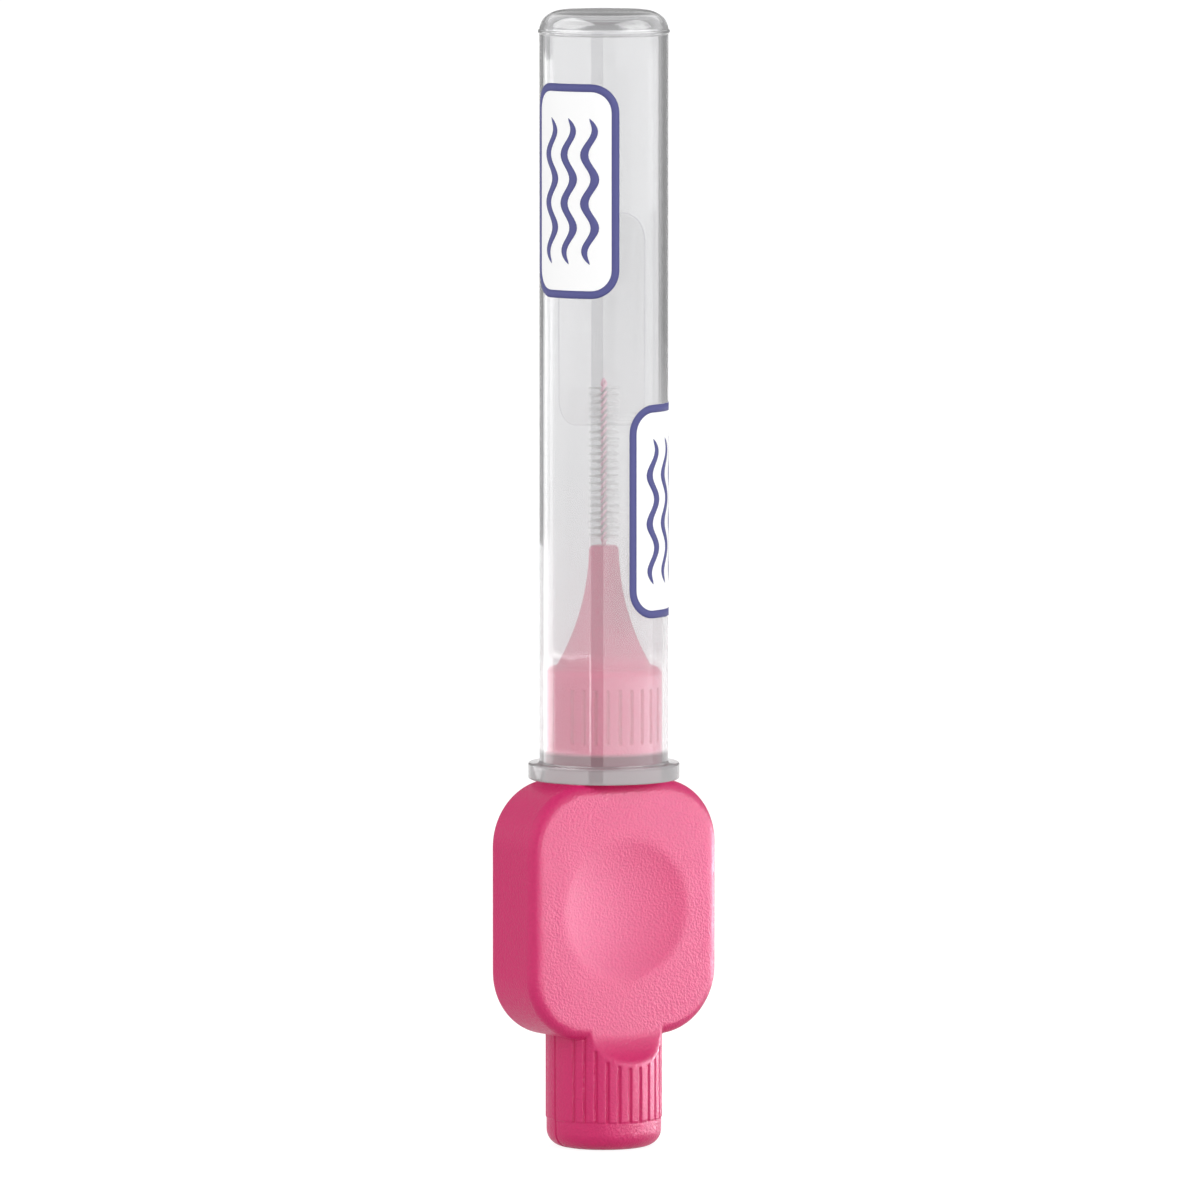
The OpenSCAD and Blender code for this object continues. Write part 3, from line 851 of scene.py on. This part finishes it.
class BRUSH_OT_bristles(bpy.types.Operator):
    """Makes the filaments that the twisted wire pinches."""

    bl_idname = "brush.bristles"
    bl_label = "Bristles"

    def execute(self, context):
        points, faces = filaments(context.scene.brush_brush, BRISTLE_LOW.z, BRISTLE_HIGH.z)
        obj = mesh_object("nylon_filaments", points, faces,
                          nylon_filament(context.scene.brush_colours), "brush")
        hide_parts("bristles")
        return {"FINISHED"}


class BRUSH_OT_cap(bpy.types.Operator):
    """Makes the clear travel cap."""

    bl_idname = "brush.cap"
    bl_label = "Clear cap"

    def execute(self, context):
        sizes = context.scene.brush_cap
        points, faces = cap_surface(sizes)
        obj = mesh_object("clear_cap", points, faces,
                          clear_polypropylene(context.scene.brush_colours, sizes), "cap")
        # Clear plastic lets the light through to the brush inside it
        obj.visible_shadow = False
        obj.visible_diffuse = False
        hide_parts("cap")
        for lamp in ("cap_strip", "crown_left", "crown_right"):
            shine_only(lamp, obj)
        return {"FINISHED"}


# Places of the printed panels: degrees round the tube from the face's normal, and height
PANEL_PLACES = ((-66.0, 67.5 * MM), (37.0, 45.0 * MM), (150.0, 58.0 * MM))


class BRUSH_OT_prints(bpy.types.Operator):
    """Makes the printed panels on the cap: white fields with a blue line round them and a plain
    pattern of waves."""

    bl_idname = "brush.prints"
    bl_label = "Printed panels"

    def execute(self, context):
        sizes = context.scene.brush_cap
        colours = context.scene.brush_colours
        white = screen_ink("white_screen_ink", tuple(colours.white_ink))
        blue = screen_ink("blue_screen_ink", tuple(colours.blue_ink))
        for number, (degrees, height) in enumerate(PANEL_PLACES, start=1):
            place = np.radians(degrees) * (sizes.bore + sizes.wall)
            mesh_object(f"panel_field_{number}", *panel_mesh(sizes, place, height), white, "cap")
            mesh_object(f"panel_border_{number}", *border_mesh(sizes, place, height), blue, "cap")
            for wave, off in enumerate((-WAVE_SPACING, 0.0, WAVE_SPACING), start=1):
                mesh_object(f"panel_wave_{number}_{wave}", *wave_mesh(sizes, place + off, height),
                            blue, "cap")
        return {"FINISHED"}


class BRUSH_OT_stage(bpy.types.Operator):
    """Makes the floor, the world, the soft studio lights, the bright and dark cards and the camera."""

    bl_idname = "brush.stage"
    bl_label = "Stage"

    def execute(self, context):
        make_floor()
        make_world(context.scene)
        for light in LIGHTS:
            make_light(*light)
        for card in CARDS:
            make_card(*card)
        make_camera(context.scene)
        context.scene.view_settings.view_transform = "Standard"
        return {"FINISHED"}


# The photograph's view: azimuth and elevation in degrees, the width that it shows, the height that it
# is aimed at, and how far to the right of the axis
VIEW_AZIMUTH = -33.0
VIEW_ELEVATION = 5.1
VIEW_WIDTH = 84.25 * MM
VIEW_CENTRE_Z = 38.53 * MM
VIEW_RIGHT_OF_AXIS = -0.27 * MM
# In metres, and the sensor's width in millimetres, as Blender counts it
CAMERA_DISTANCE = 1.0
SENSOR = 36.0

WHITE = (1.0, 1.0, 1.0)
COOL = (0.88, 0.95, 1.0)

# Name, azimuth from the camera in degrees, distance, width, lower and upper edge, watts, colour, and
# whether it shows in gloss alone
LIGHTS = (
    ("right_softbox", 60.0, 0.60, 0.60, 200 * MM, 600 * MM, 1.5, WHITE, False),
    ("left_softbox", -62.0, 0.60, 0.50, 250 * MM, 650 * MM, 0.7, WHITE, False),
    ("handle_glare", 97.0, 0.105, 0.15, 0.5 * MM, 10 * MM, 0.30, COOL, True),
    ("rib_glare", 38.0, 0.105, 0.10, 0.5 * MM, 10 * MM, 0.06, COOL, True),
    ("crown_left", -80.0, 0.16, 0.26, 115 * MM, 330 * MM, 0.60, WHITE, True),
    ("crown_right", 72.0, 0.16, 0.20, 115 * MM, 300 * MM, 0.30, WHITE, True),
    ("cap_strip", -120.0, 0.25, 0.15, 1 * MM, 64 * MM, 0.055, WHITE, True),
)

# Name, first and last azimuth from the camera in degrees, distance, lower and upper edge, and
# brightness, where 1 is white: a bright card shines as a lit reflector does, a dim one darkens
CARDS = (
    ("camera_gap_card", -22.5, -1.0, 0.15, 8 * MM, 110 * MM, 0.4),
    ("low_side_card", -145.0, -100.0, 0.10, 0.2 * MM, 14 * MM, 0.2),
    ("left_sheen", -103.0, -23.0, 0.15, 21.5 * MM, 110 * MM, 2.0),
    ("left_sheen_foot", -103.0, -23.0, 0.15, 0.2 * MM, 13.6 * MM, 2.0),
    ("left_sheen_rim", -103.0, -26.0, 0.15, 21.2 * MM, 21.5 * MM, 5.0),
    ("left_sheen_side_rim", -26.0, -23.0, 0.15, 13.6 * MM, 21.5 * MM, 4.5),
    ("right_sheen", -1.0, 97.0, 0.15, 0.2 * MM, 110 * MM, 1.9),
    ("left_edge_card", -168.0, -138.0, 0.5, -100 * MM, 110 * MM, 0.30),
    ("right_edge_card", 124.0, 167.0, 0.5, -100 * MM, 110 * MM, 0.25),
    ("top_card", 135.0, 225.0, 0.5, 96 * MM, 220 * MM, 0.35),
)


def direction(azimuth, elevation):
    """Unit vector from the object towards a place at that azimuth from -Y and elevation, in degrees."""
    a, e = np.radians(azimuth), np.radians(elevation)
    return np.array([np.sin(a) * np.cos(e), -np.cos(a) * np.cos(e), np.sin(e)])


def aimed(obj, place, target):
    """Puts a light, a card or the camera at a place, with its -Z axis towards the target."""
    obj.location = place
    obj.rotation_euler = Vector(target - place).to_track_quat("-Z", "Y").to_euler()


def make_camera(scene):
    """The camera at the photograph's angle, with a long lens."""
    lens = bpy.data.cameras.new("camera")
    lens.sensor_width = SENSOR
    lens.lens = SENSOR * CAMERA_DISTANCE / VIEW_WIDTH
    lens.clip_end = 100
    camera = bpy.data.objects.new("camera", lens)
    scene.collection.objects.link(camera)
    right = direction(VIEW_AZIMUTH + 90, 0)
    target = np.array([0, 0, VIEW_CENTRE_Z]) + right * VIEW_RIGHT_OF_AXIS
    aimed(camera, target + direction(VIEW_AZIMUTH, VIEW_ELEVATION) * CAMERA_DISTANCE, target)
    scene.camera = camera


def make_light(name, azimuth, distance, width, low, high, watts, colour, gloss_only):
    """One soft upright light beside the object, turned towards the view's centre, which only shows
    in gloss if gloss_only is true."""
    lamp = bpy.data.lights.new(name, "AREA")
    lamp.shape = "RECTANGLE"
    lamp.size = width
    lamp.size_y = high - low
    lamp.energy = watts
    lamp.color = colour
    obj = bpy.data.objects.new(name, lamp)
    obj.visible_camera = False
    obj.visible_diffuse = not gloss_only
    bpy.context.scene.collection.objects.link(obj)
    place = direction(VIEW_AZIMUTH + azimuth, 0) * distance + [0, 0, (low + high) / 2]
    aimed(obj, place, np.array([0, 0, VIEW_CENTRE_Z]))


def shine_only(light_name, piece):
    """Lets a light reach one piece alone, as flags round a real lamp do."""
    lit = bpy.data.collections.new(light_name + "_reach")
    lit.objects.link(piece)
    bpy.data.objects[light_name].light_linking.receiver_collection = lit


def make_card(name, first, last, distance, low, high, brightness):
    """One card, bent round the object at that distance, which only shows in gloss and through the
    cap."""
    material, tree, output = new_material(name + "_paper")
    glow = add_node(tree, "ShaderNodeEmission", Color=(*WHITE, 1.0), Strength=brightness)
    tree.links.new(glow.outputs["Emission"], output.inputs["Surface"])
    turns = np.linspace(first, last, 13) + VIEW_AZIMUTH
    arch = np.array([direction(turn, 0) * distance for turn in turns])
    points = np.concatenate([arch + [0, 0, low], arch + [0, 0, high]])
    faces = grid_faces(2, len(turns), closed_columns=False)
    obj = mesh_object(name, points, faces, material, None, smooth=False)
    obj.visible_camera = False
    obj.visible_diffuse = False
    obj.visible_shadow = False


def background_mix(tree, plain, seen, gloss):
    """Light Path: gloss for glossy rays, seen for camera and transmission rays, plain for all
    others."""
    path = add_node(tree, "ShaderNodeLightPath")
    either = add_node(tree, "ShaderNodeMath",
                      [(0, path.outputs["Is Camera Ray"]), (1, path.outputs["Is Transmission Ray"])],
                      operation="MAXIMUM")
    mix = add_node(tree, "ShaderNodeMixShader", [(0, either.outputs[0]), (1, plain), (2, seen)])
    return add_node(tree, "ShaderNodeMixShader",
                    [(0, path.outputs["Is Glossy Ray"]), (1, mix.outputs[0]), (2, gloss)])


def make_world(scene):
    """A pale surround that dims overhead, in plain light and in gloss, and is white where it is seen."""
    world = bpy.data.worlds.new("studio")
    scene.world = world
    world.use_nodes = True
    tree = world.node_tree
    tree.nodes.clear()
    place = add_node(tree, "ShaderNodeTexCoord").outputs["Generated"]
    rise = add_node(tree, "ShaderNodeSeparateXYZ", [("Vector", place)]).outputs["Z"]
    light = add_node(tree, "ShaderNodeMapRange", [("Value", rise)],
                     To_Min=1.15, To_Max=0.58).outputs["Result"]
    sheen = add_node(tree, "ShaderNodeMapRange", [("Value", rise)],
                     From_Min=0.3, From_Max=0.9, To_Min=1.0, To_Max=0.5).outputs["Result"]
    white = (*WHITE, 1.0)
    plain = add_node(tree, "ShaderNodeBackground", [("Strength", light)], Color=white)
    seen = add_node(tree, "ShaderNodeBackground", Color=white, Strength=1.0)
    gloss = add_node(tree, "ShaderNodeBackground", [("Strength", sheen)], Color=white)
    mix = background_mix(tree, plain.outputs[0], seen.outputs[0], gloss.outputs[0])
    output = add_node(tree, "ShaderNodeOutputWorld")
    tree.links.new(mix.outputs[0], output.inputs["Surface"])


# How far the floor lies below the object's foot
FLOOR_DROP = 0.02 * MM


def make_floor():
    """A wide pale floor: grey paper to the light, and nearly white with a faint shadow where it is
    seen or shows in gloss."""
    material, tree, output = new_material("studio_floor")
    paper = add_node(tree, "ShaderNodeBsdfDiffuse", Color=(0.72, 0.72, 0.72, 1.0))
    faint = add_node(tree, "ShaderNodeBsdfDiffuse", Color=(0.25, 0.25, 0.25, 1.0))
    glow = add_node(tree, "ShaderNodeEmission", Color=(*WHITE, 1.0), Strength=0.88)
    bright = add_node(tree, "ShaderNodeAddShader", [(0, faint.outputs[0]), (1, glow.outputs[0])])
    mix = background_mix(tree, paper.outputs[0], bright.outputs[0], bright.outputs[0])
    tree.links.new(mix.outputs[0], output.inputs["Surface"])
    reach = np.array([0.05, 0.5, 6.0])
    grid = revolve(np.stack([reach, 0 * reach], axis=-1), 64)
    rows, columns = grid.shape[:2]
    points = np.concatenate([grid.reshape(-1, 3), [[0, 0, 0]]]) - [0, 0, FLOOR_DROP]
    faces = [face[::-1] for face in grid_faces(rows, columns)] + fan(rows * columns, 0, columns)
    obj = mesh_object("floor", points, faces, material, None)


class BRUSH_PT_panel(bpy.types.Panel):
    """Lists the brush's pieces, sizes and colours."""

    bl_idname = "BRUSH_PT_panel"
    bl_label = "Interdental Brush"
    bl_space_type = "VIEW_3D"
    bl_region_type = "UI"
    bl_category = "Brush"

    def draw(self, context):
        for operator in OPERATORS:
            self.layout.operator(operator.bl_idname)
        for name in GROUPS:
            group = getattr(context.scene, name)
            box = self.layout.box()
            for setting in group.__annotations__:
                box.prop(group, setting)


OPERATORS = (BRUSH_OT_stage, BRUSH_OT_handle, BRUSH_OT_wire, BRUSH_OT_bristles, BRUSH_OT_cap,
             BRUSH_OT_prints)
GROUPS = {
    "brush_handle": HandleSizes,
    "brush_brush": BrushSizes,
    "brush_cap": CapSizes,
    "brush_colours": BrushColours,
}


def register():
    """Registers the property groups, the operators and the panel."""
    for name, group in GROUPS.items():
        bpy.utils.register_class(group)
        setattr(bpy.types.Scene, name, bpy.props.PointerProperty(type=group))
    for cls in (*OPERATORS, BRUSH_PT_panel):
        bpy.utils.register_class(cls)


def unregister():
    """Takes back what register did."""
    for cls in (BRUSH_PT_panel, *reversed(OPERATORS)):
        bpy.utils.unregister_class(cls)
    for name, group in GROUPS.items():
        delattr(bpy.types.Scene, name)
        bpy.utils.unregister_class(group)


def main():
    """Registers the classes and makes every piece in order."""
    register()
    bpy.ops.brush.stage()
    bpy.ops.brush.handle()
    bpy.ops.brush.wire()
    bpy.ops.brush.bristles()
    bpy.ops.brush.cap()
    bpy.ops.brush.prints()


if __name__ == "__main__":
    main()
